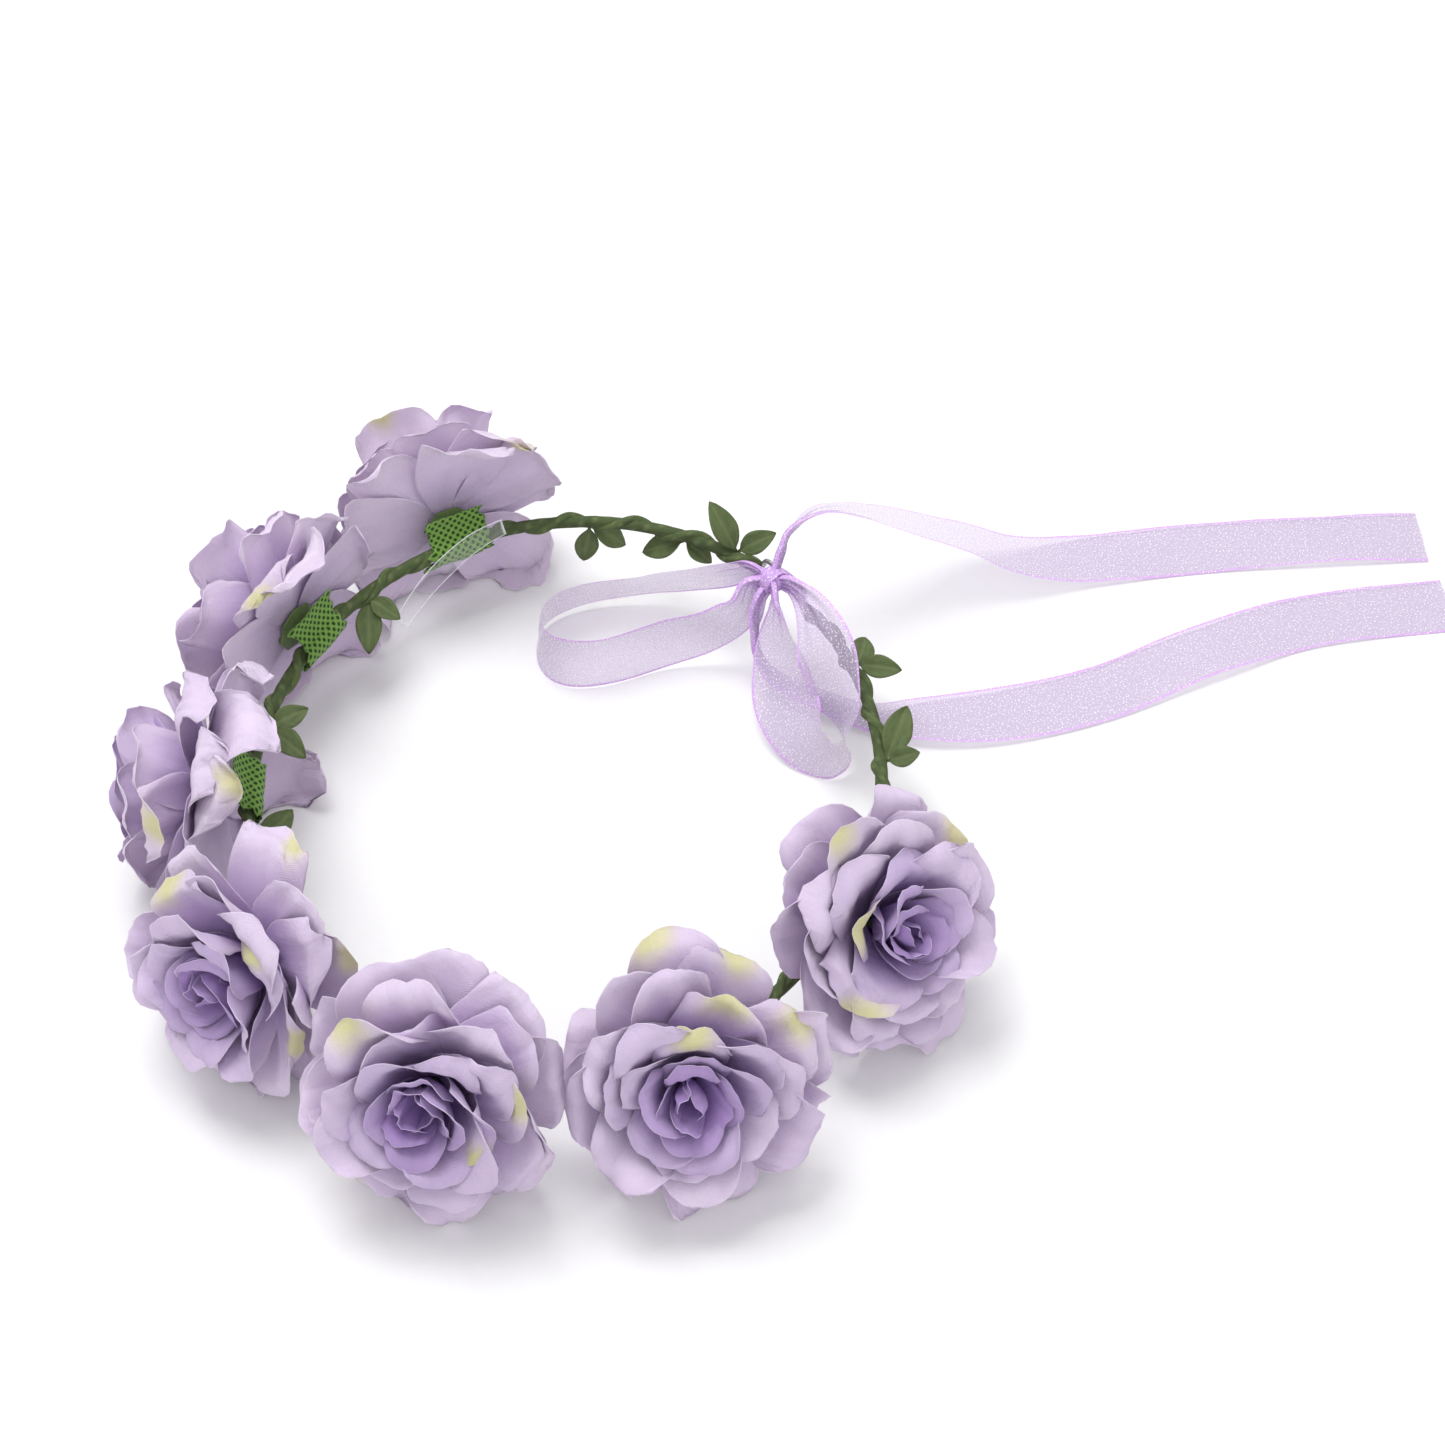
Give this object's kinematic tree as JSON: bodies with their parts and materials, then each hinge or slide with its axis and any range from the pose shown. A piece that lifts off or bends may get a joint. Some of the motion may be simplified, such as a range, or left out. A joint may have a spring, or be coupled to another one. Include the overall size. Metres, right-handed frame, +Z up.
{
  "type": "flower crown",
  "caption": "Head wreath of fabric roses on a leafy paper-wrapped wire ring, closed at one side by an organza ribbon bow with long tails.",
  "frame": {"origin": "centre of the head opening, on the plane the crown rests on", "axes": "+Z up out of the head opening, +X towards the ribbon tails, -Y towards the roses that face the viewer"},
  "size_m": [0.3801, 0.2538, 0.0656],
  "materials": {
    "petal_outer": "light lavender woven petal fabric",
    "petal_middle": "lavender woven petal fabric",
    "petal_inner": "purple woven petal fabric",
    "petal_bud": "deep purple woven petal fabric",
    "calyx_green": "moulded green plastic",
    "felt_green": "perforated non-woven cloth",
    "paper_green": "twisted paper wrap",
    "twine_green": "twisted paper twine",
    "leaf_green": "waxed paper leaf",
    "wire_steel": "drawn wire",
    "organza": "sheer woven organza",
    "clear_film": "clear glossy film"
  },
  "bodies": {
    "crown": {"frame_wire": "wire_steel", "vine_wrap": "paper_green", "vine_twine": "twine_green", "rose_1_calyx": "calyx_green", "rose_1_petals_outer": "petal_outer", "rose_1_petals_middle": "petal_middle", "rose_1_petals_inner": "petal_inner", "rose_1_bud": "petal_bud", "rose_1_felt_pad": "felt_green", "rose_2_calyx": "calyx_green", "rose_2_petals_outer": "petal_outer", "rose_2_petals_middle": "petal_middle", "rose_2_petals_inner": "petal_inner", "rose_2_bud": "petal_bud", "rose_2_felt_pad": "felt_green", "rose_3_calyx": "calyx_green", "rose_3_petals_outer": "petal_outer", "rose_3_petals_middle": "petal_middle", "rose_3_petals_inner": "petal_inner", "rose_3_bud": "petal_bud", "rose_3_felt_pad": "felt_green", "rose_4_calyx": "calyx_green", "rose_4_petals_outer": "petal_outer", "rose_4_petals_middle": "petal_middle", "rose_4_petals_inner": "petal_inner", "rose_4_bud": "petal_bud", "rose_4_felt_pad": "felt_green", "rose_5_calyx": "calyx_green", "rose_5_petals_outer": "petal_outer", "rose_5_petals_middle": "petal_middle", "rose_5_petals_inner": "petal_inner", "rose_5_bud": "petal_bud", "rose_5_felt_pad": "felt_green", "rose_6_calyx": "calyx_green", "rose_6_petals_outer": "petal_outer", "rose_6_petals_middle": "petal_middle", "rose_6_petals_inner": "petal_inner", "rose_6_bud": "petal_bud", "rose_6_felt_pad": "felt_green", "rose_7_calyx": "calyx_green", "rose_7_petals_outer": "petal_outer", "rose_7_petals_middle": "petal_middle", "rose_7_petals_inner": "petal_inner", "rose_7_bud": "petal_bud", "rose_7_felt_pad": "felt_green", "leaf_pair_1": "leaf_green", "leaf_pair_2": "leaf_green", "leaf_pair_3": "leaf_green", "leaf_pair_4": "leaf_green", "leaf_pair_5": "leaf_green", "leaf_pair_6": "leaf_green", "leaf_pair_7": "leaf_green", "leaf_pair_8": "leaf_green", "ribbon_tie": "organza", "ribbon_knot": "organza", "clear_tag_band": "clear_film"},
    "loop_left": {"ribbon_loop_left": "organza"},
    "loop_right": {"ribbon_loop_right": "organza"},
    "tail_1": {"ribbon_tail_1": "organza"},
    "tail_2": {"ribbon_tail_2": "organza"}
  },
  "joints": [
    {"name": "loop_left_lift", "type": "hinge", "parent": "crown", "child": "loop_left", "pos_m": [0.05575, 0.06728, 0.0317], "axis": [-0.0341, 0.9994, 0], "range_deg": [0, 24]},
    {"name": "loop_right_lift", "type": "hinge", "parent": "crown", "child": "loop_right", "pos_m": [0.05575, 0.06728, 0.0317], "axis": [-0.9192, -0.3938, 0], "range_deg": [0, 30]},
    {"name": "tail_1_swing", "type": "hinge", "parent": "crown", "child": "tail_1", "pos_m": [0.05575, 0.06728, 0.0317], "axis": [0, 0, 1], "range_deg": [-1, 35]},
    {"name": "tail_2_swing", "type": "hinge", "parent": "crown", "child": "tail_2", "pos_m": [0.05575, 0.06728, 0.0317], "axis": [0, 0, 1], "range_deg": [-7, 1]}
  ]
}
